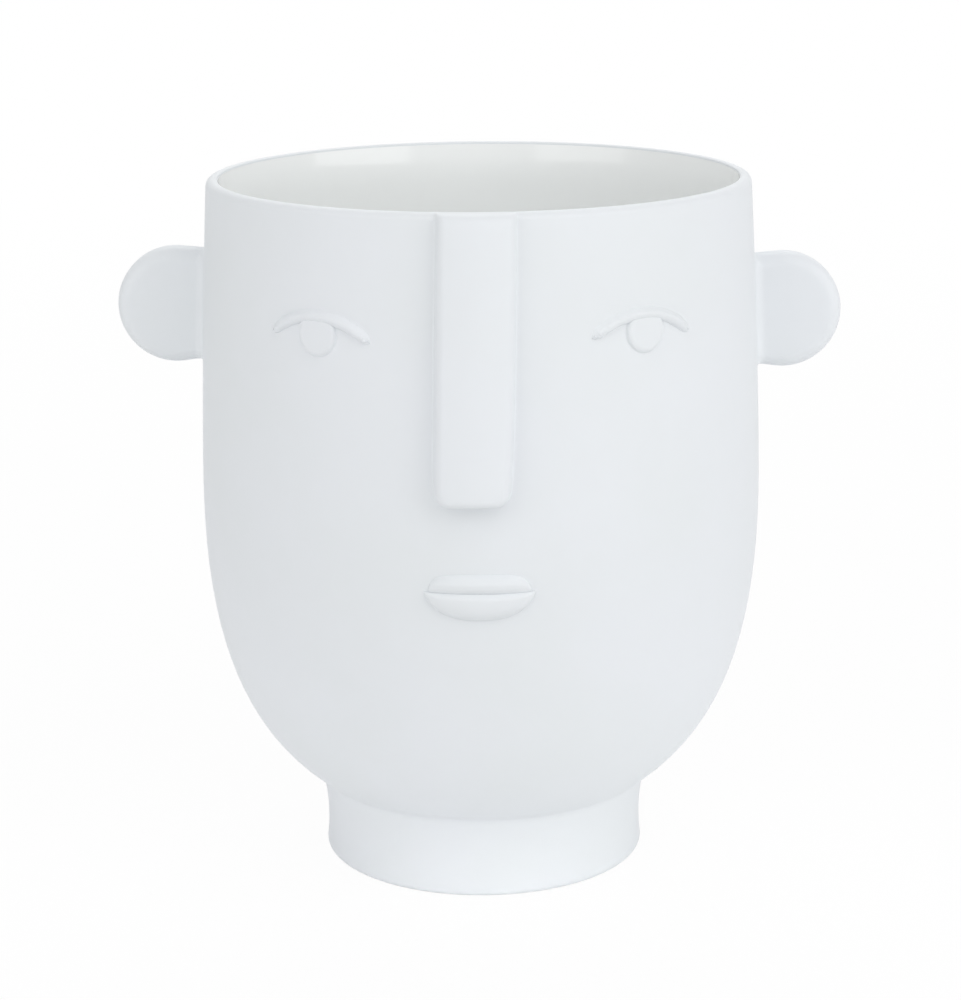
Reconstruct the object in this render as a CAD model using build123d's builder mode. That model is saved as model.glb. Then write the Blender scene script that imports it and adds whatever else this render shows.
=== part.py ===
# Face vase: a bowl-shaped head on a low pedestal foot, with ears and face luted on as separate pieces.
# The origin is the centre of the plane it stands on, +Z is up, and the face looks along -Y.
# Left and right are the viewer's.
import os
from math import cos, radians, sin, tan

from build123d import *

os.makedirs("parts", exist_ok=True)

# Head, in millimetres and degrees
height = 170.0
rim_radius = 65.3
rim_lean = 3.4  # the wall's lean towards the axis at the lip
rim_pull = 29.0  # how far down from the lip the wall keeps that lean
belly_radius = 68.4
belly_height = 92.5
belly_pull_up = 14.0  # how far the wall stays upright above the belly
belly_pull_down = 41.5  # and below it
chin_slope = 35.0  # the wall's rise from the horizontal where it leaves the foot
chin_pull = 20.0  # how far out from the foot the wall keeps that slope
wall = 4.0
floor = 5.0
lip_round = 1.8

# Coat and joints
glaze = 0.5
slip = 0.05  # layer of slip under each luted piece

# Foot
seat_height = 20.0
seat_radius = 41.0
waist_radius = 39.6
foot_radius = 40.1
foot_wall = 7.0
foot_edge = 1.2

# Ears
ear_radius = 14.0
ear_stand_off = 5.3  # ear's centre outside the belly radius
ear_drop = 31.9  # ear's centre below the rim
ear_offset = 1.25  # the left ear sits this much above the drop and the right ear this much below
ear_root_radius = 12.2  # the outline narrows to a circle of this radius
ear_root_depth = 16.0  # this far in from the ear's centre
ear_thickness = 9.0
ear_edge = 3.2
ear_cove = 1.4

# Nose
nose_drop = 2.4  # top of its front below the rim
nose_length = 61.7
nose_offset = -0.8  # its middle from the vase's middle
nose_width = 17.0  # across its front
nose_bridge = 3.6  # how far it stands out at the top
nose_tip = 6.4  # and at the bottom
nose_draft = 8.0
nose_corner = 3.0
nose_edge = 1.8
nose_cove = 0.8

# Mouth
mouth_drop = 84.6  # line between the lips below the rim
mouth_width = 24.6
upper_lip_height = 3.9
upper_lip_relief = 2.0
lower_lip_height = 6.8
lower_lip_relief = 2.4
lip_edge = 1.1

# Eyes
eye_azimuth = 33.0
eye_drop = 28.2  # iris centre below the rim
iris_radius = 4.9
iris_relief = 1.0
iris_corner = 0.9
iris_edge = 0.6
lid_span = 25.0  # between the centres of the ridge's round ends
lid_rise = 4.8
lid_lift = 4.3  # middle of the ridge above the iris centre
lid_width = 2.2
lid_relief = 1.2
lid_edge = 0.8


# Solid form of the head, its wall moved inwards by the inset, or outwards where that is negative
def head_form(inset):
    scale = 1 - inset / belly_radius
    chin = Vector(seat_radius - inset, seat_height + inset * floor / wall)
    belly = Vector(belly_radius - inset, belly_height)
    rim = Vector(rim_radius - inset, height)
    chin_handle = Vector(cos(radians(chin_slope)), sin(radians(chin_slope))) * chin_pull * scale
    rim_handle = Vector(tan(radians(rim_lean)), -1) * rim_pull
    with BuildPart() as form:
        with BuildSketch(Plane.YZ):
            with BuildLine():
                Line((0, chin.Y), chin)
                Bezier(chin, chin + chin_handle, belly - Vector(0, belly_pull_down * scale), belly)
                Bezier(belly, belly + Vector(0, belly_pull_up), rim + rim_handle, rim)
                Polyline(rim, (0, height), (0, chin.Y))
            make_face()
        revolve(axis=Axis.Z)
    return form.part


outer_form = head_form(0)
slip_form = head_form(-slip)
glaze_form = head_form(wall - glaze)
inner_form = head_form(wall)
reach = belly_radius + rim_radius  # from the axis to well outside the wall

# The bowl of the head, with a rounded lip and a bed for the coat cut back below it
with BuildPart() as vase_body:
    add(outer_form)
    add(inner_form, mode=Mode.SUBTRACT)
    fillet(vase_body.edges().group_by(Axis.Z)[-1], lip_round)
    coat_bed = split(
        glaze_form, bisect_by=Plane.XY.offset(height - lip_round), keep=Keep.BOTTOM, mode=Mode.PRIVATE
    )
    add(coat_bed, mode=Mode.SUBTRACT)
vase_body.part.label = "vase_body"
export_step(vase_body.part, "parts/vase_body.step")

# Shiny coat over the whole inside, up to where the lip starts to round over
with BuildPart() as inner_glaze:
    add(coat_bed)
    add(inner_form, mode=Mode.SUBTRACT)
inner_glaze.part.label = "inner_glaze"
export_step(inner_glaze.part, "parts/inner_glaze.step")

# Waisted foot ring, open below, with a flat seat for the head
with BuildPart() as pedestal_foot:
    with BuildSketch(Plane.YZ) as foot_section:
        with BuildLine():
            ThreePointArc((foot_radius, 0), (waist_radius, seat_height / 2), (seat_radius, seat_height))
            Polyline(
                (seat_radius, seat_height),
                (seat_radius - foot_wall, seat_height),
                (foot_radius - foot_wall, 0),
                (foot_radius, 0),
            )
        make_face()
        fillet(foot_section.vertices().group_by(Axis.Y)[0], foot_edge)
    revolve(axis=Axis.Z)
pedestal_foot.part.label = "pedestal_foot"
export_step(pedestal_foot.part, "parts/pedestal_foot.step")

# Disc ears with soft edges, and a cove round the root where each is luted to the wall
for side, name in ((-1, "left_ear"), (1, "right_ear")):
    ear_centre = Vector(side * (belly_radius + ear_stand_off), height - ear_drop - side * ear_offset)
    with BuildPart() as ear:
        with BuildSketch(Plane.XZ):
            with Locations(ear_centre):
                Circle(ear_radius)
            with Locations(ear_centre - Vector(side * ear_root_depth, 0)):
                Circle(ear_root_radius)
            make_hull()
        extrude(amount=ear_thickness / 2, both=True)
        fillet(ear.faces().filter_by(Axis.Y).edges(), ear_edge)
        add(outer_form)
        fillet(ear.edges(Select.NEW), ear_cove)
        add(slip_form, mode=Mode.SUBTRACT)
    ear.part.label = name
    export_step(ear.part, f"parts/{name}.step")

# Bar nose that leans with the wall and grows towards its tip
tip = Vector(nose_offset, -belly_radius - nose_tip, height - nose_drop - nose_length)
bridge = Vector(nose_offset, -rim_radius - nose_bridge, height - nose_drop)
nose_up = bridge - tip
nose_front = Plane(origin=tip, x_dir=(1, 0, 0), z_dir=Vector(1, 0, 0).cross(nose_up))
with BuildPart() as nose:
    with BuildSketch(nose_front) as nose_outline:
        Rectangle(nose_width, nose_up.length, align=(Align.CENTER, Align.MIN))
        fillet(nose_outline.vertices(), nose_corner)
    extrude(amount=-nose_tip - wall, taper=-nose_draft)
    fillet(nose.faces().sort_by(Axis.Y)[0].edges(), nose_edge)
    add(outer_form)
    fillet(nose.edges(Select.NEW), nose_cove)
    add(slip_form, mode=Mode.SUBTRACT)
nose.part.label = "nose"
export_step(nose.part, "parts/nose.step")

# Lips, each a half ellipse that follows the wall and meets the other at the line of the mouth
for name, lip_height, relief, align in (
    ("upper_lip", upper_lip_height, upper_lip_relief, Align.MIN),
    ("lower_lip", lower_lip_height, lower_lip_relief, Align.MAX),
):
    relief_form = head_form(-relief)
    with BuildPart() as lip:
        with BuildSketch(Plane.XZ):
            with Locations((0, height - mouth_drop)):
                Ellipse(mouth_width / 2, lip_height)
                Rectangle(mouth_width, lip_height, align=(Align.CENTER, align), mode=Mode.INTERSECT)
        extrude(amount=reach)
        add(relief_form, mode=Mode.INTERSECT)
        add(slip_form, mode=Mode.SUBTRACT)
        fillet(lip.faces().sort_by(Axis.Y)[0].edges(), lip_edge)
    lip.part.label = name
    export_step(lip.part, f"parts/{name}.step")

# Eyes: an arched lid ridge, and an iris disc that its underside cuts off
lid_form = head_form(-lid_relief)
iris_form = head_form(-iris_relief)
lid_end = Vector(lid_span / 2, lid_lift - lid_rise)
ridge = ThreePointArc((-lid_end.X, lid_end.Y), (0, lid_lift), lid_end)
for side, word in ((-1, "left"), (1, "right")):
    azimuth = radians(side * eye_azimuth)
    outward = Vector(sin(azimuth), -cos(azimuth), 0)
    eye_plane = Plane(
        origin=(0, 0, height - eye_drop), x_dir=(cos(azimuth), sin(azimuth), 0), z_dir=outward
    )
    gaze = Axis((0, 0, 0), outward)
    with BuildPart() as eyelid:
        with BuildSketch(eye_plane):
            SlotArc(ridge, lid_width)
        extrude(amount=reach)
        add(lid_form, mode=Mode.INTERSECT)
        add(slip_form, mode=Mode.SUBTRACT)
        fillet(eyelid.faces().sort_by(gaze)[-1].edges(), lid_edge)
    eyelid.part.label = f"{word}_eyelid"
    export_step(eyelid.part, f"parts/{word}_eyelid.step")

    with BuildPart() as iris:
        with BuildSketch(eye_plane):
            Circle(iris_radius)
            with Locations(ridge.arc_center):
                Circle(ridge.radius - lid_width / 2 - slip, mode=Mode.INTERSECT)
        extrude(amount=reach)
        fillet(iris.edges().filter_by(gaze).sort_by(Axis.Z)[-2:], iris_corner)
        add(iris_form, mode=Mode.INTERSECT)
        add(slip_form, mode=Mode.SUBTRACT)
        fillet(iris.faces().sort_by(gaze)[-1].edges(), iris_edge)
    iris.part.label = f"{word}_iris"
    export_step(iris.part, f"parts/{word}_iris.step")
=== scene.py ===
import bisect
import math

import bmesh
import bpy
from mathutils import Matrix, Vector


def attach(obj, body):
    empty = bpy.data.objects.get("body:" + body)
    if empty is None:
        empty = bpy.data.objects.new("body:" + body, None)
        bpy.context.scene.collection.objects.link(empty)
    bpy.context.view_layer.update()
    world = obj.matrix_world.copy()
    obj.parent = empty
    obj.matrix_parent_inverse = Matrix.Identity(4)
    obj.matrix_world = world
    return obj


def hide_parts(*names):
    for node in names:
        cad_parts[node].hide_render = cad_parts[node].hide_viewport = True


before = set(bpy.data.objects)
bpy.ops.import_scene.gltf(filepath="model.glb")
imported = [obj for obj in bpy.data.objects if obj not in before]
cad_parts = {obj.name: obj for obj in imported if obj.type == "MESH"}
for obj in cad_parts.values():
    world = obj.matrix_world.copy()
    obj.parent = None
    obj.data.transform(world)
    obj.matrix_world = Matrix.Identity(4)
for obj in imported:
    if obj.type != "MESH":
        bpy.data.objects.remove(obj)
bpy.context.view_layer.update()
mm = 0.001
weld = 0.002 * mm  # points closer than this become one
tiny = 1e-6
quarterPull = 0.5523  # handle of a quarter circle whose radius is 1
print("frame loaded", len(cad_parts), "nodes")


# Everything deselected, in object mode
def clearSelection():
    if bpy.context.mode != "OBJECT":
        bpy.ops.object.mode_set(mode="OBJECT")
    bpy.ops.object.select_all(action="DESELECT")


# One piece picked and active, in object mode
def pickPiece(piece):
    clearSelection()
    piece.select_set(True)
    bpy.context.view_layer.objects.active = piece


# One piece active, in edit mode, with nothing picked yet
def openPiece(piece):
    pickPiece(piece)
    bpy.ops.object.mode_set(mode="EDIT")
    bpy.ops.mesh.select_mode(type="VERT")
    bpy.ops.mesh.select_all(action="DESELECT")


# Picks the whole mesh of the open piece
def pickAll():
    bpy.ops.mesh.select_all(action="SELECT")


# Picks the edges or faces of the open piece that pass the test, and nothing else
def pickParts(piece, kind, test):
    bpy.ops.mesh.select_mode(type=kind)
    sketch = bmesh.from_edit_mesh(piece.data)
    for part in sketch.edges if kind == "EDGE" else sketch.faces:
        part.select_set(bool(test(part)))
    bmesh.update_edit_mesh(piece.data)


# Extrudes the picked faces towards the front, by millimetres
def pushOut(high):
    bpy.ops.mesh.extrude_region_move(TRANSFORM_OT_translate={"value": (0, -high * mm, 0)})


# Location, turn and scale go into the mesh, so that the object sits at the origin
def applyPlace(piece, name):
    pickPiece(piece)
    bpy.ops.object.transform_apply(location=True, rotation=True, scale=True)
    piece.name = name
    piece.data.name = name
    return piece


# Closes seams and poles, turns the faces outwards and smooths what is not a crease
def finishMesh(piece, crease):
    openPiece(piece)
    pickAll()
    bpy.ops.mesh.remove_doubles(threshold=weld)
    bpy.ops.mesh.delete_loose()
    pickAll()
    bpy.ops.mesh.normals_make_consistent(inside=False)
    pickPiece(piece)
    bpy.ops.object.shade_smooth_by_angle(angle=math.radians(crease))


# A new curve with as many knots as asked for
def startCurve(steps, count):
    clearSelection()
    bpy.ops.curve.primitive_bezier_curve_add(location=(0, 0, 0))
    curve = bpy.context.object.data
    curve.dimensions = "3D"
    curve.resolution_u = steps
    knots = curve.splines[0].bezier_points
    knots.add(count - len(knots))
    return curve


# The active curve becomes the mesh of a piece
def curveToPiece(name):
    bpy.ops.object.convert(target="MESH")
    return applyPlace(bpy.context.object, name)


# Wall of the head as radius and height in millimetres, from the chin at the foot to the rim
head = {
    "chin": (41.0, 20.0),
    "chinSlope": 35.0,
    "chinPull": 20.0,
    "belly": (68.385, 92.5),
    "bellyPullDown": 41.5,
    "bellyPullUp": 14.0,
    "rim": (65.3, 170.0),
    "rimLean": 3.4,
    "rimPull": 29.0,
    "wall": 4.0,
    "floor": 5.0,
    "lipRound": 1.8,
    "lipRoundInside": 0.6,
    "lipThin": 1.2,  # how much the wall thins towards the lip, on its inside
    "thinFrom": 160.0,  # height where it starts
    "lipFlare": 9.0,
    "glaze": 0.5,
    "spinSteps": 192,
    "curveSteps": 20,
    "tableSteps": 400,
    "halvings": 50,
    "leanReach": 0.5,  # how far up and down the wall's lean is read
    "crease": 40,
}


# Seven control points of the wall moved inwards by the inset: chin, belly and rim with their handles
def wallLine(inset):
    shrink = 1 - inset / head["belly"][0]
    slope = math.radians(head["chinSlope"])
    chin = Vector((head["chin"][0] - inset, head["chin"][1] + inset * head["floor"] / head["wall"]))
    belly = Vector((head["belly"][0] - inset, head["belly"][1]))
    rim = Vector((head["rim"][0] - inset, head["rim"][1]))
    return [
        chin,
        chin + Vector((math.cos(slope), math.sin(slope))) * head["chinPull"] * shrink,
        belly - Vector((0, head["bellyPullDown"] * shrink)),
        belly,
        belly + Vector((0, head["bellyPullUp"])),
        rim + Vector((math.tan(math.radians(head["rimLean"])), -1)) * head["rimPull"],
        rim,
    ]


# Both halves of a four point curve cut at t
def splitCurve(points, t):
    a, b, c, d = points
    ab, bc, cd = a.lerp(b, t), b.lerp(c, t), c.lerp(d, t)
    abc, bcd = ab.lerp(bc, t), bc.lerp(cd, t)
    middle = abc.lerp(bcd, t)
    return [a, ab, abc, middle], [middle, bcd, cd, d]


# Where along a rising curve a height is reached
def reachHeight(points, height):
    low, high = 0.0, 1.0
    for halving in range(head["halvings"]):
        t = (low + high) / 2
        if splitCurve(points, t)[0][3].y < height:
            low = t
        else:
            high = t
    return t


# The same wall cut off where the lip starts to round over
def wallBelowLip(inset, lipRound):
    line = wallLine(inset)
    lipStart = head["rim"][1] - lipRound
    upper = splitCurve(line[3:], reachHeight(line[3:], lipStart))[0]
    return line[:3] + upper


# Inside of the wall, which opens a little towards the lip
def wallInside(inset):
    line = wallBelowLip(inset, head["lipRoundInside"])
    lower, upper = splitCurve(line[3:], reachHeight(line[3:], head["thinFrom"]))
    end = upper[3] + Vector((head["lipThin"], 0))
    flare = Vector((math.tan(math.radians(head["lipFlare"])), 1)) * (end.y - head["thinFrom"]) / 3
    return line[:3] + lower + [upper[1], end - flare, end]


# Height and outside radius, point by point up the wall
outerLine = wallBelowLip(0, head["lipRound"])
wallTable = []
for part in (outerLine[:4], outerLine[3:]):
    for step in range(head["tableSteps"]):
        point = splitCurve(part, step / head["tableSteps"])[0][3]
        wallTable.append((point.y, point.x))
wallTable.append((outerLine[6].y, outerLine[6].x))
wallHeights = [row[0] for row in wallTable]


# Outside radius at a height, all in millimetres, with the rounded lip above the wall
def wallRadius(height):
    lipStart, lipRadius = wallTable[-1]
    if height > lipStart:
        rise = min(height - lipStart, head["lipRound"])
        return lipRadius - head["lipRound"] + math.sqrt(head["lipRound"] ** 2 - rise**2)
    index = min(max(bisect.bisect(wallHeights, height), 1), len(wallTable) - 1)
    (z0, r0), (z1, r1) = wallTable[index - 1], wallTable[index]
    return r0 + (r1 - r0) * (height - z0) / (z1 - z0)


# A flat model point, across, up and out in millimetres, laid on the wall at an azimuth
def onWall(azimuth, across, up, out):
    radius = wallRadius(up)
    depth = math.sqrt(radius**2 - across**2)
    reach = head["leanReach"]
    lean = (wallRadius(up + reach) - wallRadius(up - reach)) / (2 * reach)
    normal = Vector((across / radius, -depth / radius, -lean)).normalized()
    point = Vector((across, -depth, up)) + normal * out
    return Matrix.Rotation(azimuth, 3, "Z") @ point * mm


# Lays a flat model, drawn in X and Z with its front towards -Y, on the wall
def layOnWall(piece, azimuth, height):
    for vert in piece.data.vertices:
        across, out, up = vert.co.x / mm, -vert.co.y / mm, vert.co.z / mm
        vert.co = onWall(azimuth, across, height + up, out)


# Draws a profile as a curve at the back of the vase and spins it round the axis
# Each knot is its point and its two handles, and None is a straight run
def spinProfile(name, knots, closed):
    curve = startCurve(head["curveSteps"], len(knots))
    spline = curve.splines[0]
    spline.use_cyclic_u = closed
    for knot, (point, before, after) in zip(spline.bezier_points, knots):
        knot.handle_left_type = "VECTOR" if before is None else "FREE"
        knot.handle_right_type = "VECTOR" if after is None else "FREE"
        knot.co = Vector((0, point[0], point[1])) * mm
        if before is not None:
            knot.handle_left = Vector((0, before[0], before[1])) * mm
        if after is not None:
            knot.handle_right = Vector((0, after[0], after[1])) * mm
    piece = curveToPiece(name)
    openPiece(piece)
    pickAll()
    bpy.ops.mesh.remove_doubles(threshold=weld)
    pickAll()
    bpy.ops.mesh.spin(
        steps=head["spinSteps"], angle=2 * math.pi, use_auto_merge=True, center=(0, 0, 0), axis=(0, 0, 1)
    )
    finishMesh(piece, head["crease"])
    print("spun", name, len(piece.data.polygons), "faces")
    return piece


# Bowl of the head with a rounded lip and a bed for the coat inside
def makeVaseBody():
    inner, bed = wallInside(head["wall"]), wallInside(head["wall"] - head["glaze"])
    top, small = head["rim"][1], head["lipRoundInside"]
    lipOut = Vector((outerLine[6].x - head["lipRound"], top))
    lipIn = Vector((inner[9].x + small, top))
    rise, aside = Vector((0, quarterPull)), Vector((quarterPull, 0))
    knots = [
        (Vector((0, outerLine[0].y)), None, None),
        (outerLine[0], None, outerLine[1]),
        (outerLine[3], outerLine[2], outerLine[4]),
        (outerLine[6], outerLine[5], outerLine[6] + rise * head["lipRound"]),
        (lipOut, lipOut + aside * head["lipRound"], None),
        (lipIn, None, lipIn - aside * small),
        (inner[9], inner[9] + rise * small, None),
        (bed[9], None, bed[8]),
        (bed[6], bed[7], bed[5]),
        (bed[3], bed[4], bed[2]),
        (bed[0], bed[1], None),
        (Vector((0, bed[0].y)), None, None),
    ]
    return spinProfile("vaseBody", knots, False)


# Shiny coat over the whole inside, with the corner at the floor run soft
coat = {
    "bedGap": 0.02,  # keeps its back off the bed
    "cornerShare": 0.12,  # share of the lower wall that the soft corner takes up
    "cornerPull": 0.35,
    "floorBack": 6.0,  # how far in from the wall the floor starts to rise
    "floorPull": 4.0,
}


def makeInnerGlaze():
    inner, back = wallInside(head["wall"]), wallInside(head["wall"] - head["glaze"] + coat["bedGap"])
    wallAbove = splitCurve(inner[:4], coat["cornerShare"])[1]
    floorEnd = inner[0] - Vector((coat["floorBack"], 0))
    knots = [
        (inner[9], None, inner[8]),
        (inner[6], inner[7], inner[5]),
        (inner[3], inner[4], wallAbove[2]),
        (wallAbove[0], wallAbove[1], wallAbove[0] - (wallAbove[1] - wallAbove[0]) * coat["cornerPull"]),
        (floorEnd, floorEnd + Vector((coat["floorPull"], 0)), None),
        (Vector((0, inner[0].y)), None, None),
        (Vector((0, back[0].y)), None, None),
        (back[0], None, back[1]),
        (back[3], back[2], back[4]),
        (back[6], back[5], back[7]),
        (back[9], back[8], None),
    ]
    return spinProfile("innerGlaze", knots, True)


# Waisted foot ring with a small cove under the chin and another round the hollow below
foot = {
    "radius": 40.1,
    "seat": (41.0, 20.0),
    "waistIn": -0.145,  # how the side leans at the bottom
    "waistOut": 0.0095,  # how it curves back out
    "wall": 7.0,
    "edge": 1.2,
    "edgePull": 0.45,
    "cove": 1.2,
    "covePull": 0.6,
    "chinGap": 0.02,  # how far the cove's end goes into the chin
    "tuckIn": 1.0,  # how far in and up its top reaches into the head
    "tuckUp": 1.2,
    "hollowCove": 2.0,
    "hollowPull": 0.4,
    "hollowTop": 0.03,  # start of the hollow's cove above the seat
    "hollowSide": 0.1,  # end of that cove, and its handle, in from the wall of the hollow
    "hollowSidePull": 0.06,
}


def footSide(height):
    return foot["radius"] + foot["waistIn"] * height + foot["waistOut"] * height**2


# Direction of the side at a height
def footWay(height):
    return Vector((foot["waistIn"] + 2 * foot["waistOut"] * height, 1))


def makePedestalFoot():
    edge, cove, hollow = foot["edge"], foot["cove"], foot["hollowCove"]
    bulge = foot["edgePull"] * edge
    seat = Vector(foot["seat"])
    slope = math.radians(head["chinSlope"])
    chinWay = Vector((math.cos(slope), math.sin(slope)))
    low, high = edge, seat.y - cove
    third = (high - low) / 3
    sideLow, sideHigh = Vector((footSide(low), low)), Vector((footSide(high), high))
    coveStart = sideHigh + footWay(high) * cove * foot["covePull"]
    coveTop = seat + chinWay * cove + Vector((-chinWay.y, chinWay.x)) * foot["chinGap"]
    innerTop = seat.x - foot["wall"]
    innerLow = foot["radius"] - foot["wall"]
    roofPull = Vector((innerTop - hollow * foot["hollowPull"], seat.y))
    sidePull = Vector((innerTop - foot["hollowSidePull"], seat.y - hollow * foot["hollowPull"]))
    knots = [
        (Vector((footSide(0) - edge, 0)), None, Vector((footSide(0) - bulge, 0))),
        (sideLow, sideLow - Vector((0, edge - bulge)), sideLow + footWay(low) * third),
        (sideHigh, sideHigh - footWay(high) * third, coveStart),
        (coveTop, coveTop - chinWay * cove * foot["covePull"], None),
        (seat + Vector((-foot["tuckIn"], foot["tuckUp"])), None, None),
        (Vector((innerTop - hollow, seat.y + foot["tuckUp"])), None, None),
        (Vector((innerTop - hollow, seat.y + foot["hollowTop"])), None, roofPull),
        (Vector((innerTop - foot["hollowSide"], seat.y - hollow)), sidePull, None),
        (Vector((innerLow, edge)), None, Vector((innerLow, bulge))),
        (Vector((innerLow + edge, 0)), Vector((innerLow + bulge, 0)), None),
    ]
    return spinProfile("pedestalFoot", knots, True)


# Disc ear with a soft edge, drawn out to a root that flares where it is luted to the wall
ear = {
    "radius": 14.0,
    "thickness": 9.0,
    "edge": 3.2,
    "edgeSteps": 12,
    "flatCorners": 8,  # a face with more corners than this is one of the two flat ones
    "flatRing": 0.35,
    "standOff": 73.7,
    "height": 137.8,
    "offset": 1.25,  # the left ear is this much higher and the right one this much lower
    "shoulder": 1.58,  # where the outline leaves the circle, in from its centre
    "rootDepth": 16.0,
    "rootRadius": 12.2,
    "rootRings": (1.2, 2.2),  # first rings of the root, in from the shoulder
    "faceCove": 2.3,
    "edgeCove": 0.8,
    "coveTurn": 9,  # degrees between the rings of the cove
    "rootEnds": (0.012, -0.05, -0.4, -2.2),  # last rings, from just above the wall to well inside it
    "sides": 160,
    "crease": 35,
}


# Quarter round that a cove adds at a distance from the wall
def coveFlare(cove, gap):
    if gap >= cove:
        return 0.0
    return cove - math.sqrt(max(cove**2 - (cove - max(gap, 0)) ** 2, 0))


def makeEar(name, side):
    centre = Vector((side * ear["standOff"], 0, ear["height"] - side * ear["offset"]))
    clearSelection()
    bpy.ops.mesh.primitive_cylinder_add(
        vertices=ear["sides"],
        radius=ear["radius"] * mm,
        depth=ear["thickness"] * mm,
        end_fill_type="NGON",
        location=centre * mm,
        rotation=(math.pi / 2, 0, 0),
    )
    piece = applyPlace(bpy.context.object, name)
    openPiece(piece)
    half = ear["thickness"] / 2 * mm
    pickParts(piece, "EDGE", lambda e: abs(e.verts[0].co.y + e.verts[1].co.y) > half)
    bpy.ops.mesh.bevel(offset=ear["edge"] * mm, segments=ear["edgeSteps"], profile=0.5, affect="EDGES")
    pickParts(
        piece,
        "FACE",
        lambda f: abs(abs(f.calc_center_median().y) - half) < tiny and len(f.verts) > ear["flatCorners"],
    )
    bpy.ops.mesh.inset(thickness=ear["flatRing"] * mm, depth=0)
    cut = centre.x - side * ear["shoulder"]
    pickAll()
    bpy.ops.mesh.bisect(plane_co=(cut * mm, 0, 0), plane_no=(side, 0, 0), clear_inner=True)
    pickParts(piece, "EDGE", lambda e: e.is_boundary)
    wallAt = wallRadius(centre.z)
    start = abs(cut) - wallAt
    gaps = [start - ring for ring in ear["rootRings"]]
    gaps += [ear["faceCove"] * (1 - math.sin(math.radians(turn))) for turn in range(0, 90, ear["coveTurn"])]
    gaps += ear["rootEnds"]
    narrow = (ear["radius"] - ear["rootRadius"]) / ear["rootDepth"]
    last, lastY, lastZ = start, 1.0, 1.0
    for gap in gaps:
        taper = 1 - narrow * (start - gap) / ear["radius"]
        growY = 1 + coveFlare(ear["faceCove"], gap) / (ear["thickness"] / 2)
        growZ = taper + coveFlare(ear["edgeCove"], gap) / ear["radius"]
        bpy.ops.mesh.extrude_edges_move(TRANSFORM_OT_translate={"value": (side * (gap - last) * mm, 0, 0)})
        bpy.ops.transform.resize(value=(1, growY / lastY, growZ / lastZ), center_override=centre * mm)
        last, lastY, lastZ = gap, growY, growZ
    bpy.ops.mesh.edge_face_add()
    clearSelection()
    # the root follows the wall's curve, and the disc stays flat
    for vert in piece.data.vertices:
        gap = abs(vert.co.x) / mm - wallAt
        hold = min(max((start - gap) / (start - ear["faceCove"]), 0), 1)
        hold = hold * hold * (3 - 2 * hold)
        curved = math.sqrt(wallRadius(vert.co.z / mm) ** 2 - (vert.co.y / mm) ** 2)
        vert.co.x += side * (curved - wallAt) * hold * mm
    finishMesh(piece, ear["crease"])
    print("ear", name, len(piece.data.polygons), "faces")
    return piece


# Bar nose: a crowned front that leans away from the wall towards its tip
# Its drafted sides run up into the lip
nose = {
    "middle": -0.6,  # set a little to the viewer's left
    "width": 17.0,
    "top": 173.5,  # drawn past the lip and cut off level with it
    "flush": 169.9,
    "tip": 105.9,
    "bridgeOut": 68.9,  # front from the axis near the top
    "bridge": 167.6,
    "tipOut": 73.6,  # and at the tip
    "bow": -0.4,  # how hollow the front is between them, and below zero how full
    "crown": 0.75,  # how far its sides fall away from its middle
    "crownEnd": 1.1,  # half widths from the middle where the crown stops
    "topRound": 1.8,
    "topCuts": (0.02, 0.08, 0.2, 0.4, 0.7, 1.1, 1.8),  # down from the top, where it rounds over
    "low": 3.6,  # height that the flat model is drawn with
    "back": 1.5,  # its back, inside the wall
    "under": 0.03,  # where its side starts, just inside the wall
    "draft": 5.0,
    "lean": 1.2,  # how far the tip is set to the viewer's left of the top
    "pinch": 0.8,  # how much narrower its right side gets towards the tip
    "pinchFrom": 150.0,
    "pinchCurve": 4,
    "corner": 3.0,
    "cornerSteps": 14,
    "edge": 1.8,
    "cove": 0.65,
    "feather": 0.15,
    "roundSteps": 8,  # of the cove and of the rounded edge
    "longRun": 20.0,  # straight runs over this length get the long cuts
    "longCuts": 40,
    "shortRun": 3.0,
    "shortCuts": 12,
    "frontRing": 0.4,
    "frontGap": 0.01,  # how far a face of the front may be off its plane
    "frontFacing": 0.99,
    "gridUp": 3,  # cuts across and along the front
    "gridAcross": 2,
    "gridHalf": 6,
    "axisGap": 0.01,
    "lipCover": 0.5,  # the hidden back stays inside the lip
    "lipFade": 1.5,
    "crease": 35,
}


# Steps of the nose's side as outward offset and height: feather, cove, side and rounded edge
def noseSection():
    cove, edge, count = nose["cove"], nose["edge"], nose["roundSteps"]
    draft = math.radians(nose["draft"])
    turn = math.pi / 2 - draft
    reach = math.tan(turn / 2)
    angles = [turn * step / count for step in range(count + 1)]
    spread = nose["low"] * math.tan(draft) + cove * reach
    steps = [(spread + nose["feather"], -nose["under"])]
    for angle in angles:
        steps.append((spread - cove * math.sin(angle), cove * (1 - math.cos(angle))))
    for angle in angles:
        out = -edge * reach + edge * math.cos(draft + angle)
        steps.append((out, nose["low"] - edge * (1 - math.sin(draft + angle))))
    return steps


# How far the front stands from the axis at a height
def noseFront(height):
    share = (height - nose["tip"]) / (nose["bridge"] - nose["tip"])
    front = nose["tipOut"] + (nose["bridgeOut"] - nose["tipOut"]) * share
    front -= nose["bow"] * 4 * share * (1 - share)
    over = min(max(height - nose["flush"] + nose["topRound"], 0), nose["topRound"])
    return front - nose["topRound"] + math.sqrt(nose["topRound"] ** 2 - over**2)


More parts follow.
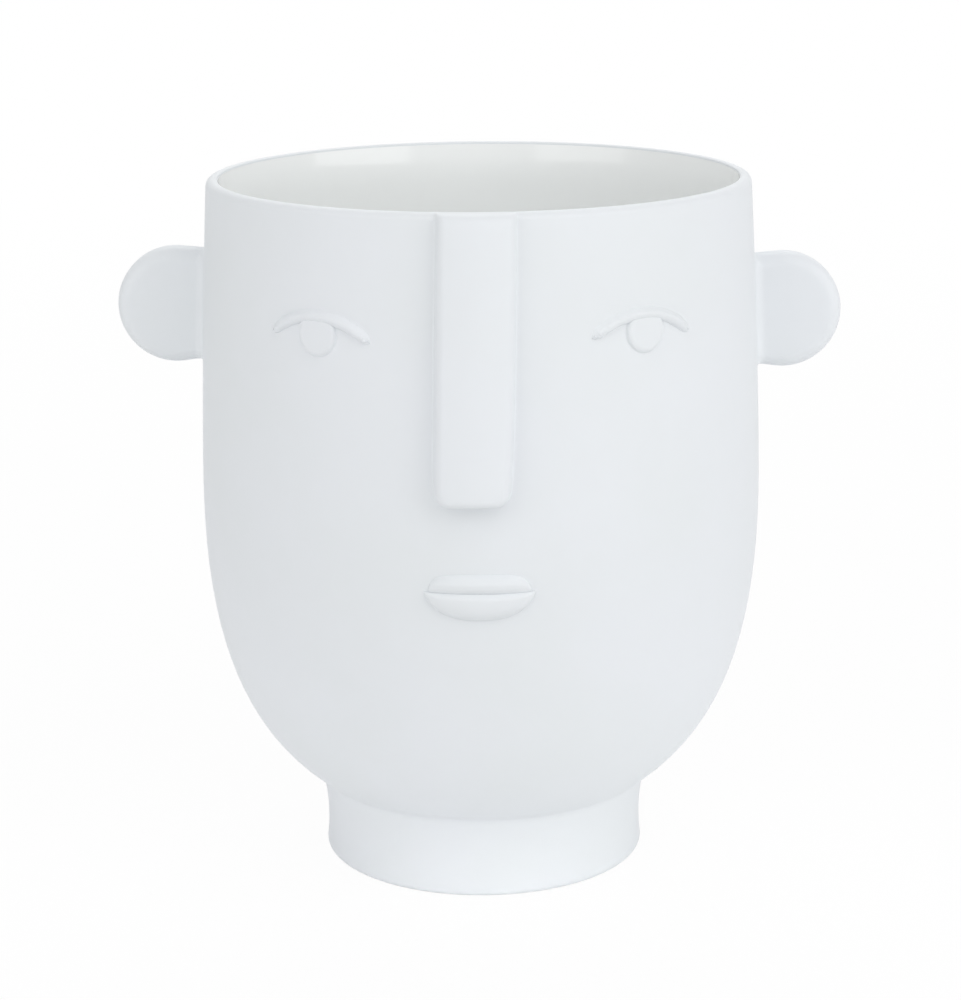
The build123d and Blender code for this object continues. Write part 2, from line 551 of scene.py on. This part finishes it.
def makeNose():
    steps = noseSection()
    spread = steps[0][0]
    length = nose["top"] - nose["tip"]
    middle = (nose["top"] + nose["tip"]) / 2
    clearSelection()
    bpy.ops.mesh.primitive_plane_add(size=1, location=(0, nose["back"] * mm, 0), rotation=(math.pi / 2, 0, 0))
    piece = bpy.context.object
    piece.scale = ((nose["width"] + 2 * spread) * mm, (length + 2 * spread) * mm, 1)
    applyPlace(piece, "noseBar")
    openPiece(piece)
    pickAll()
    bpy.ops.mesh.bevel(
        offset=(nose["corner"] + spread) * mm, segments=nose["cornerSteps"], affect="VERTICES"
    )
    # straight runs get points of their own so that they can follow the wall
    longRun, shortRun = nose["longRun"] * mm, nose["shortRun"] * mm
    pickParts(piece, "EDGE", lambda e: e.calc_length() > longRun)
    bpy.ops.mesh.subdivide(number_cuts=nose["longCuts"])
    pickParts(piece, "EDGE", lambda e: shortRun < e.calc_length() < longRun)
    bpy.ops.mesh.subdivide(number_cuts=nose["shortCuts"])
    bpy.ops.mesh.select_mode(type="FACE")
    pickAll()
    bpy.ops.mesh.dissolve_faces()
    pickAll()
    pushOut(nose["back"] - nose["under"])
    lastOut, lastHigh = steps[0]
    for out, high in steps[1:]:
        bpy.ops.mesh.inset(thickness=(lastOut - out) * mm, depth=0, use_even_offset=True)
        bpy.ops.transform.translate(value=(0, -(high - lastHigh) * mm, 0))
        lastOut, lastHigh = out, high
    bpy.ops.mesh.inset(thickness=nose["frontRing"] * mm, depth=0, use_even_offset=True)
    # cut off level with the lip, with a few more cuts where the top rounds over
    flush = nose["flush"] - middle
    pickAll()
    bpy.ops.mesh.bisect(plane_co=(0, 0, flush * mm), plane_no=(0, 0, 1), clear_outer=True, use_fill=True)
    for drop in nose["topCuts"]:
        pickAll()
        bpy.ops.mesh.bisect(plane_co=(0, 0, (flush - drop) * mm), plane_no=(0, 0, 1))
    # the front is cut into a grid so that it can curve
    rows = range(math.ceil(nose["tip"]) + nose["gridUp"], int(nose["bridge"]), nose["gridUp"])
    columns = range(-nose["gridHalf"], nose["gridHalf"] + 1, nose["gridAcross"])
    cuts = [((0, 0, 1), z) for z in rows] + [((1, 0, 0), x) for x in columns]
    frontAt = (nose["frontGap"] - nose["low"]) * mm
    for way, place in cuts:
        pickParts(
            piece,
            "FACE",
            lambda f: f.normal.y < -nose["frontFacing"] and f.calc_center_median().y < frontAt,
        )
        spot = Vector((place, 0, place - middle)) * mm
        bpy.ops.mesh.bisect(plane_co=spot, plane_no=way)
    clearSelection()
    # each point goes to the wall, and the side is drawn out to the leaning front
    draft = math.tan(math.radians(nose["draft"]))
    sideStart = nose["roundSteps"] + 1
    sideLow, sideHigh = steps[sideStart][1], steps[sideStart + 1][1]
    spine = length / 2 - nose["width"] / 2
    for vert in piece.data.vertices:
        across, high, up = vert.co.x / mm, -vert.co.y / mm, vert.co.z / mm
        share = min(max((high - sideLow) / (sideHigh - sideLow), 0), 1)
        z = middle + up
        held = min(max(z, nose["tip"]), nose["bridge"])
        extra = noseFront(held) - wallRadius(held) - nose["low"]
        away = Vector((across, min(up + spine, 0)))
        if away.length > nose["axisGap"]:
            away = away.normalized() * extra * draft * (1 - share)
        crown = nose["crown"] * min(abs(across) * 2 / nose["width"], nose["crownEnd"]) ** 2
        fall = min(max((nose["pinchFrom"] - z) / (nose["pinchFrom"] - nose["tip"]), 0), 1)
        lean = nose["lean"] * (nose["flush"] - z) / (nose["flush"] - nose["tip"])
        pinch = nose["pinch"] * fall ** nose["pinchCurve"] * max(across * 2 / nose["width"], 0)
        across, z = across + away.x + nose["middle"] - lean - pinch, z + away.y
        if high < 0:
            high *= min((nose["flush"] + nose["lipCover"] - z) / nose["lipFade"], 1)
        depth = math.sqrt(wallRadius(z) ** 2 - across**2)
        lift = math.sqrt(noseFront(z) ** 2 - across**2) - crown - depth - nose["low"]
        vert.co = Vector((across, -(depth + high + lift * share), z)) * mm
    finishMesh(piece, nose["crease"])
    print("nose", len(piece.data.polygons), "faces")
    return piece


# Lips: each a long pillow with its inner edge on the line of the mouth
lips = {
    "mouth": 85.4,
    "azimuth": -0.45,  # degrees, set a little to the viewer's left
    "upper": {
        "width": 23.2,
        "height": 4.1,
        "relief": 2.0,
        "crest": 0.5,  # how far up the pillow is highest
        "square": 5.6,  # square and fall shape the outline towards the corners of the mouth
        "fall": 0.5,
        "crease": 0.58,  # how high the line of the mouth stays
        "full": 1.7,  # full and turn shape the outer side
        "turn": 0.8,
    },
    "lower": {
        "width": 24.9,
        "height": 6.7,
        "relief": 2.2,
        "crest": 0.26,
        "square": 2.5,
        "fall": 0.6,
        "crease": 0.48,
        "full": 2.6,
        "turn": 0.75,
    },
    "gap": 0.02,
    "sunk": 1.2,
    "sunkTurn": 0.9,
    "backFrom": 0.001,  # where a point counts as behind
    "endSquare": 2.6,  # how the relief falls away at the corners
    "endFall": 0.5,
    "creaseTurn": 2.2,
    "segments": 72,
    "crease": 60,
}


def makeLip(name, key, way):
    lip = lips[key]
    clearSelection()
    bpy.ops.mesh.primitive_uv_sphere_add(
        segments=lips["segments"], ring_count=lips["segments"], radius=1, rotation=(0, math.pi / 2, 0)
    )
    piece = applyPlace(bpy.context.object, name)
    for vert in piece.data.vertices:
        along = min(max(vert.co.x, -1), 1)
        ring = math.hypot(vert.co.y, vert.co.z)
        outward = way * vert.co.z / ring if ring > tiny else 0
        front = -vert.co.y / ring if ring > tiny else 0
        outline = lip["height"] * max(1 - abs(along) ** lip["square"], 0) ** lip["fall"]
        crest = lips["gap"] + (outline - lips["gap"]) * lip["crest"]
        inner, outer = crest - lips["gap"], outline - crest
        up = crest + outward * (outer if outward > 0 else inner)
        full = max(1 - abs(along) ** lips["endSquare"], 0) ** lips["endFall"]
        if front < -lips["backFrom"]:
            high = -lips["sunk"] * abs(front) ** lips["sunkTurn"] * full
        elif outward > 0:
            high = lip["relief"] * max(1 - outward ** lip["full"], 0) ** lip["turn"] * full
        else:
            high = lip["relief"] * (1 - (1 - lip["crease"]) * abs(outward) ** lips["creaseTurn"]) * full
        vert.co = Vector((along * lip["width"] / 2, -high, way * up)) * mm
    layOnWall(piece, math.radians(lips["azimuth"]), lips["mouth"])
    finishMesh(piece, lips["crease"])
    print("lip", name, len(piece.data.polygons), "faces")
    return piece


# Eyes: an arched ridge for the lid, and a low disc for the iris that runs under it
eye = {
    "azimuth": {-1: -32.7, 1: 33.3},  # degrees, the viewer's left eye and right eye
    "height": 141.8,
    "lidSpan": 26.6,
    "lidRise": 5.0,
    "lidLift": 4.3,
    "lidWidth": 2.9,
    "lidRelief": 1.35,
    "lidFeather": 3.0,  # how softly the upper side runs into the wall
    "lidCrisp": 1.2,  # and the lower side
    "lidTilt": {-1: -0.4, 1: -2.4},  # degrees
    # from the middle of the ridge to its end: share of the way, and thickness
    "lidKnots": ((0.0, 1.0), (0.35, 1.0), (0.7, 1.0), (0.88, 0.86), (0.95, 0.64), (0.985, 0.36), (1.0, 0.05)),
    "lidSteps": 16,
    "lidSides": 8,
    "lidCrease": 60,
    "irisRise": {-1: 0.3, 1: 0.5},
    "irisRadius": 4.9,
    "irisRelief": 0.95,
    "irisEdge": 1.2,
    "irisTop": 3.7,  # flattened here, under the ridge
    "irisTurn": 0.9,
    "irisBack": 1.0,  # its back, inside the wall
    "irisUnder": 0.03,  # where its side starts, just inside the wall
    "irisSkirt": 0.5,  # how much wider it is there
    "irisFoot": ((0.30, 0.02), (0.18, 0.06)),  # rings of the foot, outward offset and height
    "irisStart": 0.1,  # where the rounded edge starts, outwards and up
    "irisSteps": 8,
    "irisRings": (0.3, 1.1, 2.0, 2.8),  # rings of the flat front, in from the edge
    "irisSides": 128,
    "irisCrease": 50,
}


def makeEyelid(name, side):
    half = eye["lidSpan"] / 2
    radius = (half**2 + eye["lidRise"] ** 2) / (2 * eye["lidRise"])
    sweep = math.asin(half / radius)
    knots = [(-turn, size) for turn, size in eye["lidKnots"][:0:-1]] + list(eye["lidKnots"])
    curve = startCurve(eye["lidSteps"], len(knots))
    curve.bevel_depth = eye["lidWidth"] / 2 * mm
    curve.bevel_resolution = eye["lidSides"]
    for knot, (turn, size) in zip(curve.splines[0].bezier_points, knots):
        angle = turn * sweep
        knot.co = Vector((radius * math.sin(angle), 0, eye["lidLift"] - radius * (1 - math.cos(angle)))) * mm
        knot.handle_left_type = knot.handle_right_type = "AUTO"
        knot.radius = size
    piece = curveToPiece(name)
    openPiece(piece)
    pickAll()
    squash = eye["lidRelief"] / (eye["lidWidth"] / 2)
    bpy.ops.transform.resize(value=(1, squash, 1), center_override=(0, 0, 0))
    pickParts(piece, "EDGE", lambda e: e.is_boundary)
    bpy.ops.mesh.edge_collapse()
    # the ridge runs softly into the wall above and more sharply below
    sketch = bmesh.from_edit_mesh(piece.data)
    for vert in sketch.verts:
        out = -vert.co.y / mm / eye["lidRelief"]
        spine = eye["lidLift"] - radius + math.sqrt(radius**2 - (vert.co.x / mm) ** 2)
        soft = eye["lidFeather"] if vert.co.z / mm > spine else eye["lidCrisp"]
        if out > 0:
            vert.co.y = -eye["lidRelief"] * out**soft * mm
    bmesh.update_edit_mesh(piece.data)
    pickAll()
    bpy.ops.transform.rotate(
        value=math.radians(eye["lidTilt"][side]), orient_axis="Y", center_override=(0, 0, eye["lidLift"] * mm)
    )
    clearSelection()
    layOnWall(piece, math.radians(eye["azimuth"][side]), eye["height"])
    finishMesh(piece, eye["lidCrease"])
    print("eyelid", name, len(piece.data.polygons), "faces")
    return piece


def makeIris(name, side):
    clearSelection()
    bpy.ops.mesh.primitive_circle_add(
        vertices=eye["irisSides"],
        radius=(eye["irisRadius"] + eye["irisSkirt"]) * mm,
        fill_type="NGON",
        location=(0, eye["irisBack"] * mm, 0),
        rotation=(math.pi / 2, 0, 0),
    )
    piece = applyPlace(bpy.context.object, name)
    openPiece(piece)
    pickAll()
    sketch = bmesh.from_edit_mesh(piece.data)
    for vert in sketch.verts:  # the top of the disc is pressed flat under the lid
        over = vert.co.z / mm - eye["irisTop"] + eye["irisTurn"]
        if over > 0:
            vert.co.z = (eye["irisTop"] - eye["irisTurn"] * math.exp(-over / eye["irisTurn"])) * mm
    bmesh.update_edit_mesh(piece.data)
    bpy.ops.mesh.select_mode(type="FACE")
    pickAll()
    pushOut(eye["irisBack"] - eye["irisUnder"])
    relief, edge, start = eye["irisRelief"], eye["irisEdge"], eye["irisStart"]
    steps = list(eye["irisFoot"])
    for step in range(eye["irisSteps"]):
        angle = math.radians(90 * (step + 1) / eye["irisSteps"])
        steps.append((start + edge * (math.cos(angle) - 1), start + (relief - start) * math.sin(angle)))
    steps += [(-edge - ring, relief) for ring in eye["irisRings"]]
    lastOut, lastHigh = eye["irisSkirt"], -eye["irisUnder"]
    for out, high in steps:
        shrink = (eye["irisRadius"] + out) / (eye["irisRadius"] + lastOut)
        pushOut(high - lastHigh)
        bpy.ops.transform.resize(value=(shrink, 1, shrink), center_override=(0, 0, 0))
        lastOut, lastHigh = out, high
    clearSelection()
    layOnWall(piece, math.radians(eye["azimuth"][side]), eye["height"] + eye["irisRise"][side])
    finishMesh(piece, eye["irisCrease"])
    print("iris", name, len(piece.data.polygons), "faces")
    return piece


# One output socket of a node; sums on it add Math nodes
class Wire:
    def __init__(self, finish, socket):
        self.finish = finish
        self.socket = socket

    def sums(self, operation, first, second):
        return self.finish.node("ShaderNodeMath", {"operation": operation}, {0: first, 1: second})

    def __add__(self, other):
        return self.sums("ADD", self, other)

    def __radd__(self, other):
        return self.sums("ADD", other, self)

    def __sub__(self, other):
        return self.sums("SUBTRACT", self, other)

    def __rsub__(self, other):
        return self.sums("SUBTRACT", other, self)

    def __mul__(self, other):
        return self.sums("MULTIPLY", self, other)

    def __rmul__(self, other):
        return self.sums("MULTIPLY", other, self)

    def larger(self, other):
        return self.sums("MAXIMUM", self, other)


# The nodes of a material or of the world, put together one by one
class Finish:
    def __init__(self, owner):
        owner.use_nodes = True
        self.owner = owner
        self.tree = owner.node_tree
        self.tree.nodes.clear()

    # settings are set first, then each socket gets its value or its link
    def node(self, kind, settings=None, sockets=None, out=0):
        node = self.tree.nodes.new(kind)
        for key, value in (settings or {}).items():
            setattr(node, key, value)
        for key, value in (sockets or {}).items():
            if isinstance(value, Wire):
                self.tree.links.new(value.socket, node.inputs[key])
            else:
                node.inputs[key].default_value = value
        return Wire(self, node.outputs[out]) if node.outputs else node

    # a place on the piece itself
    def place(self):
        return self.node("ShaderNodeTexCoord", out="Object")

    # a value held between two limits and stretched to 0 and 1
    def between(self, value, limits):
        low, high = limits
        return self.node(
            "ShaderNodeMapRange",
            {"interpolation_type": "SMOOTHSTEP"},
            {"Value": value, "From Min": low, "From Max": high},
        )

    def blend(self, factor, first, second):
        return self.node(
            "ShaderNodeMix", {"data_type": "RGBA"}, {"Factor": factor, 6: first, 7: second}, out=2
        )

    def noise(self, place, scale, detail, roughness=0.5):
        sockets = {"Vector": place, "Scale": scale, "Detail": detail, "Roughness": roughness}
        return self.node("ShaderNodeTexNoise", {}, sockets)

    def bump(self, strength, distance, height):
        sockets = {"Strength": strength, "Distance": distance, "Height": height}
        return self.node("ShaderNodeBump", {}, sockets)

    def surface(self, colour, rough, bump, ior):
        sockets = {"Base Color": colour, "Roughness": rough, "Normal": bump, "IOR": ior}
        return self.node("ShaderNodeBsdfPrincipled", {}, sockets)

    # 1 for what the camera sees, also in a reflection or through something clear
    def seen(self):
        camera = self.node("ShaderNodeLightPath", out="Is Camera Ray")
        glossy = self.node("ShaderNodeLightPath", out="Is Glossy Ray")
        through = self.node("ShaderNodeLightPath", out="Is Transmission Ray")
        return camera.larger(glossy).larger(through)

    def close(self, shader, kind="ShaderNodeOutputMaterial"):
        self.node(kind, {}, {"Surface": shader})
        return self.owner


# Matt white ceramic: cool white body, faint clouding and a fine grain
# It is bare in a ring on the underside, where it stood in the kiln
ceramic = {
    "white": (0.778, 0.802, 0.832, 1),
    "cloud": (0.757, 0.786, 0.802, 1),
    "bare": (0.72, 0.70, 0.665, 1),
    "cloudNoise": (22, 3),  # scale and detail of each noise
    "cloudRange": (0.35, 0.7),
    "cloudShare": 0.7,
    "fineNoise": (260, 3),
    "fineShare": 0.15,
    "grainNoise": (1500, 4, 0.6),
    "pitScale": 190,
    "pitRange": (0.02, 0.07),
    "bareHeight": (0.00005, 0.0003),
    "bareBreak": (0.2, 0.5),
    "roughness": 0.58,
    "fineRough": 0.12,  # what each of them adds to the roughness
    "cloudRough": 0.04,
    "bareRough": 0.25,
    "grainRelief": 0.6,  # and to the bump
    "fineRelief": 0.5,
    "pitRelief": 0.8,
    "bumpStrength": 0.35,
    "grainHeight": 0.00002,
    "ior": 1.5,
}


def makeCeramic():
    finish = Finish(bpy.data.materials.new("mattCeramic"))
    place = finish.place()
    height = finish.node("ShaderNodeSeparateXYZ", {}, {0: place}, out="Z")
    cloud = finish.between(finish.noise(place, *ceramic["cloudNoise"]), ceramic["cloudRange"])
    fine = finish.noise(place, *ceramic["fineNoise"])
    grain = finish.noise(place, *ceramic["grainNoise"])
    pits = finish.node(
        "ShaderNodeTexVoronoi",
        {"feature": "F1"},
        {"Vector": place, "Scale": ceramic["pitScale"], "Randomness": 1},
    )
    pitHole = 1 - finish.between(pits, ceramic["pitRange"])
    bare = 1 - finish.between(height, ceramic["bareHeight"])
    bare = bare * finish.between(fine, ceramic["bareBreak"])
    clouding = cloud * ceramic["cloudShare"] + fine * ceramic["fineShare"]
    colour = finish.blend(clouding, ceramic["white"], ceramic["cloud"])
    colour = finish.blend(bare, colour, ceramic["bare"])
    rough = ceramic["roughness"] + (fine - 0.5) * ceramic["fineRough"]
    rough = rough + cloud * ceramic["cloudRough"] + bare * ceramic["bareRough"]
    relief = grain * ceramic["grainRelief"] + fine * ceramic["fineRelief"] - pitHole * ceramic["pitRelief"]
    bump = finish.bump(ceramic["bumpStrength"], ceramic["grainHeight"], relief)
    return finish.close(finish.surface(colour, rough, bump, ceramic["ior"]))


# Shiny glaze: clear and faintly green over the white, pooled a little deeper towards the floor
glaze = {
    "clear": (0.93, 0.946, 0.942, 1),
    "pooled": (0.905, 0.925, 0.918, 1),
    "poolHeight": (0.024, 0.11),
    "poolShare": 0.75,
    "waveNoise": (34, 2),  # scale and detail of each noise
    "waveRange": (0.3, 0.75),
    "waveShare": 0.25,
    "fineNoise": (420, 2),
    "roughness": 0.07,
    "fineRough": 0.03,
    "fineRelief": 0.04,
    "bumpStrength": 0.2,
    "waveHeight": 0.00025,
    "ior": 1.5,
}


def makeGlaze():
    finish = Finish(bpy.data.materials.new("shinyGlaze"))
    place = finish.place()
    height = finish.node("ShaderNodeSeparateXYZ", {}, {0: place}, out="Z")
    wave = finish.noise(place, *glaze["waveNoise"])
    fine = finish.noise(place, *glaze["fineNoise"])
    pool = (1 - finish.between(height, glaze["poolHeight"])) * glaze["poolShare"]
    pool = pool + finish.between(wave, glaze["waveRange"]) * glaze["waveShare"]
    colour = finish.blend(pool, glaze["clear"], glaze["pooled"])
    rough = glaze["roughness"] + fine * glaze["fineRough"]
    bump = finish.bump(glaze["bumpStrength"], glaze["waveHeight"], wave + fine * glaze["fineRelief"])
    return finish.close(finish.surface(colour, rough, bump, glaze["ior"]))


# Studio: an even white room and soft boxes light the vase
# The floor is white to the camera and plain matt white to the light, so that it keeps a soft shadow
studio = {
    "white": (1, 1, 1, 1),
    "floorSize": 60.0,
    "floorCuts": 4,
    "floorDrop": 0.00005,
    "floorWhite": (0.94, 0.94, 0.94, 1),
    "shadowShare": 0.06,
    "shadowFade": (0.2, 1.2),  # from the middle
    "worldColour": (1.0, 1.0, 1.0, 1),
    "worldLevel": 0.47,
    "lampAim": (0, 0, 0.09),
    "lampFar": 1.3,
    "lamps": {  # degrees round from the front, degrees up, power, width and height
        "rightBox": (58, 18, 4.6, 1.2, 0.8),
        "leftBox": (-50, 24, 3.9, 1.1, 1.0),
        "rightHigh": (45, 50, 2.0, 0.9, 0.9),
        "frontHigh": (0, 50, 2.0, 0.9, 0.9),
        "back": (180, 45, 4.5, 0.9, 0.9),
    },
    "footStrip": {  # weak and low, with its beam kept below the face
        "place": (0.06, -0.46, 0.035),
        "aim": (0.008, 0, 0.004),
        "power": 0.022,
        "wide": 0.7,
        "tall": 0.05,
        "spread": 18,
    },
}


def makeFloor():
    clearSelection()
    bpy.ops.mesh.primitive_plane_add(size=studio["floorSize"], location=(0, 0, 0))
    floor = applyPlace(bpy.context.object, "floor")
    openPiece(floor)
    pickAll()
    bpy.ops.mesh.subdivide(number_cuts=studio["floorCuts"])
    bpy.ops.transform.translate(value=(0, 0, -studio["floorDrop"]))
    clearSelection()
    finish = Finish(bpy.data.materials.new("floorWhite"))
    away = finish.node("ShaderNodeVectorMath", {"operation": "LENGTH"}, {0: finish.place()}, out="Value")
    far = finish.between(away, studio["shadowFade"])
    matt = finish.node("ShaderNodeBsdfDiffuse", {}, {"Color": studio["floorWhite"]})
    glow = finish.node("ShaderNodeEmission", {}, {"Color": studio["white"], "Strength": 1.0})
    share = finish.seen() * (1 - studio["shadowShare"] * (1 - far))
    shader = finish.node("ShaderNodeMixShader", {}, {0: share, 1: matt, 2: glow})
    floor.data.materials.append(finish.close(shader))


def makeWorld():
    world = bpy.data.worlds.new("softRoom")
    bpy.context.scene.world = world
    finish = Finish(world)
    light = {"Color": studio["worldColour"], "Strength": studio["worldLevel"]}
    room = finish.node("ShaderNodeBackground", {}, light)
    white = finish.node("ShaderNodeBackground", {}, {"Color": studio["white"], "Strength": 1.0})
    shader = finish.node("ShaderNodeMixShader", {}, {0: finish.seen(), 1: room, 2: white})
    finish.close(shader, "ShaderNodeOutputWorld")


# A soft box that looks at a point, and the spread in degrees keeps its beam together
def addBox(name, place, aim, power, wide, tall, spread=180):
    clearSelection()
    turn = (place - aim).to_track_quat("Z", "Y").to_euler()
    bpy.ops.object.light_add(type="AREA", location=place, rotation=turn)
    light = bpy.context.object
    light.name = name
    light.data.shape = "RECTANGLE"
    light.data.size, light.data.size_y = wide, tall
    light.data.spread = math.radians(spread)
    light.data.energy = power


def makeLamps():
    aim = Vector(studio["lampAim"])
    for name, (azimuth, rise, power, wide, tall) in studio["lamps"].items():
        azimuth, rise = math.radians(azimuth), math.radians(rise)
        level = math.cos(rise)
        way = Vector((level * math.sin(azimuth), -level * math.cos(azimuth), math.sin(rise)))
        addBox(name, aim + way * studio["lampFar"], aim, power, wide, tall)
    strip = studio["footStrip"]
    place, aim = Vector(strip["place"]), Vector(strip["aim"])
    addBox("footStrip", place, aim, strip["power"], strip["wide"], strip["tall"], strip["spread"])


# Camera at the photograph's angle
view = {
    "place": (-0.0002, -0.6241, 0.2533),
    "aim": (-0.0002, 0, 0.0888),
    "roll": -0.0085,
    "lens": 93.57,
    "sensor": 36,
}


def makeCamera():
    clearSelection()
    place = Vector(view["place"])
    turn = (Vector(view["aim"]) - place).to_track_quat("-Z", "Y").to_matrix()
    turn = turn @ Matrix.Rotation(view["roll"], 3, "Z")
    bpy.ops.object.camera_add(location=place, rotation=turn.to_euler())
    camera = bpy.context.object
    camera.data.lens = view["lens"]
    camera.data.sensor_width = view["sensor"]
    camera.data.sensor_fit = "AUTO"
    bpy.context.scene.camera = camera


makeCamera()
makeWorld()
makeLamps()
makeFloor()
print("studio ready")

mattCeramic = makeCeramic()
shinyGlaze = makeGlaze()
print("finishes ready")

pieces = [
    (makeVaseBody(), "vase_body", mattCeramic, "matt_ceramic"),
    (makeInnerGlaze(), "inner_glaze", shinyGlaze, "shiny_glaze"),
    (makePedestalFoot(), "pedestal_foot", mattCeramic, "matt_ceramic"),
    (makeEar("leftEar", -1), "left_ear", mattCeramic, "matt_ceramic"),
    (makeEar("rightEar", 1), "right_ear", mattCeramic, "matt_ceramic"),
    (makeNose(), "nose", mattCeramic, "matt_ceramic"),
    (makeLip("upperLip", "upper", 1), "upper_lip", mattCeramic, "matt_ceramic"),
    (makeLip("lowerLip", "lower", -1), "lower_lip", mattCeramic, "matt_ceramic"),
    (makeEyelid("leftEyelid", -1), "left_eyelid", mattCeramic, "matt_ceramic"),
    (makeEyelid("rightEyelid", 1), "right_eyelid", mattCeramic, "matt_ceramic"),
    (makeIris("leftIris", -1), "left_iris", mattCeramic, "matt_ceramic"),
    (makeIris("rightIris", 1), "right_iris", mattCeramic, "matt_ceramic"),
]
for piece, node, material, slotName in pieces:
    piece.data.materials.clear()
    piece.data.materials.append(material)
    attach(piece, "root")
    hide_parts(node)
print("pieces ready", len(pieces))

bpy.context.scene.view_settings.view_transform = "Standard"
clearSelection()
